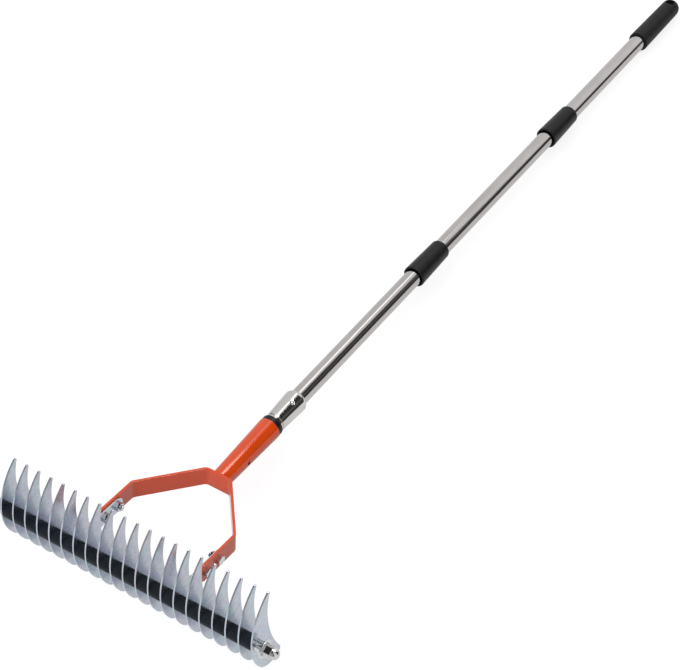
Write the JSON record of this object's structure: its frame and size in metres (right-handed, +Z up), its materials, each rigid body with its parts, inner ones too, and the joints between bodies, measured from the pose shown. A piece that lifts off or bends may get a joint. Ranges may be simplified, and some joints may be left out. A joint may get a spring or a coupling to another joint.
{
  "type": "thatch rake",
  "caption": "Thatch rake with crescent blades on a spindle, an orange bow and socket, and a steel handle in screw-coupled sections.",
  "frame": {"origin": "middle of the footprint on the floor, with the rake lying tips up on its blade heels and on the end of its grip", "axes": "+Y along the rake from the blades to the grip, +X along the spindle, +Z up, the way the tips point"},
  "size_m": [0.395, 1.2981, 0.1152],
  "materials": {
    "zinc_blade": "zinc plated, satin",
    "zinc_fastener": "zinc plated, bright",
    "bright_nut": "bright plated",
    "black_spacer": "moulded, satin",
    "orange_paint": "powder coat, semi-gloss",
    "dark_screw": "black oxide",
    "black_plastic": "moulded, satin",
    "chrome": "polished chrome",
    "rivet_steel": "bright",
    "polished_tube": "polished stainless steel",
    "grip_plastic": "moulded, fine grain"
  },
  "bodies": {
    "head": {"blade_1": "zinc_blade", "blade_2": "zinc_blade", "blade_3": "zinc_blade", "blade_4": "zinc_blade", "blade_5": "zinc_blade", "blade_6": "zinc_blade", "blade_7": "zinc_blade", "blade_8": "zinc_blade", "blade_9": "zinc_blade", "blade_10": "zinc_blade", "blade_11": "zinc_blade", "blade_12": "zinc_blade", "blade_13": "zinc_blade", "blade_14": "zinc_blade", "blade_15": "zinc_blade", "blade_16": "zinc_blade", "blade_17": "zinc_blade", "blade_18": "zinc_blade", "blade_19": "zinc_blade", "blade_20": "zinc_blade", "blade_21": "zinc_blade", "spacers_left": "black_spacer", "spacers_centre": "black_spacer", "spacers_right": "black_spacer", "spindle": "zinc_fastener", "end_sleeves": "zinc_fastener", "end_washers": "zinc_fastener", "cap_nuts": "bright_nut", "bow": "orange_paint", "arm_bolts": "zinc_fastener", "arm_nuts": "zinc_fastener", "socket": "orange_paint", "socket_screw": "dark_screw", "socket_bush": "black_plastic", "ferrule": "chrome", "ferrule_rivet": "rivet_steel", "lower_tube": "polished_tube", "joint_plug_1": "black_plastic"},
    "mid_section": {"joint_ring_1": "black_plastic", "middle_tube": "polished_tube", "joint_plug_2": "black_plastic"},
    "coupler_1": {"coupler_1": "black_plastic"},
    "top_section": {"joint_ring_2": "black_plastic", "upper_tube": "polished_tube", "grip": "grip_plastic"},
    "coupler_2": {"coupler_2": "black_plastic"}
  },
  "joints": [
    {"name": "mid_section_draw", "type": "slide", "parent": "head", "child": "mid_section", "axis": [0, 0.9995, -0.0304], "range_m": [0, 0.012]},
    {"name": "coupler_1_twist", "type": "hinge", "parent": "mid_section", "child": "coupler_1", "pos_m": [0, -0.04246, 0.03363], "axis": [0, 0.9995, -0.0304], "range_deg": [0, 1080]},
    {"name": "top_section_draw", "type": "slide", "parent": "mid_section", "child": "top_section", "axis": [0, 0.9995, -0.0304], "range_m": [0, 0.012]},
    {"name": "coupler_2_twist", "type": "hinge", "parent": "top_section", "child": "coupler_2", "pos_m": [0, 0.29139, 0.02347], "axis": [0, 0.9995, -0.0304], "range_deg": [0, 1080]}
  ],
  "couplings": [
    {"joint": "coupler_1_twist", "follows": "mid_section_draw", "rad_per_m": 1570.8},
    {"joint": "coupler_2_twist", "follows": "top_section_draw", "rad_per_m": 1570.8}
  ]
}
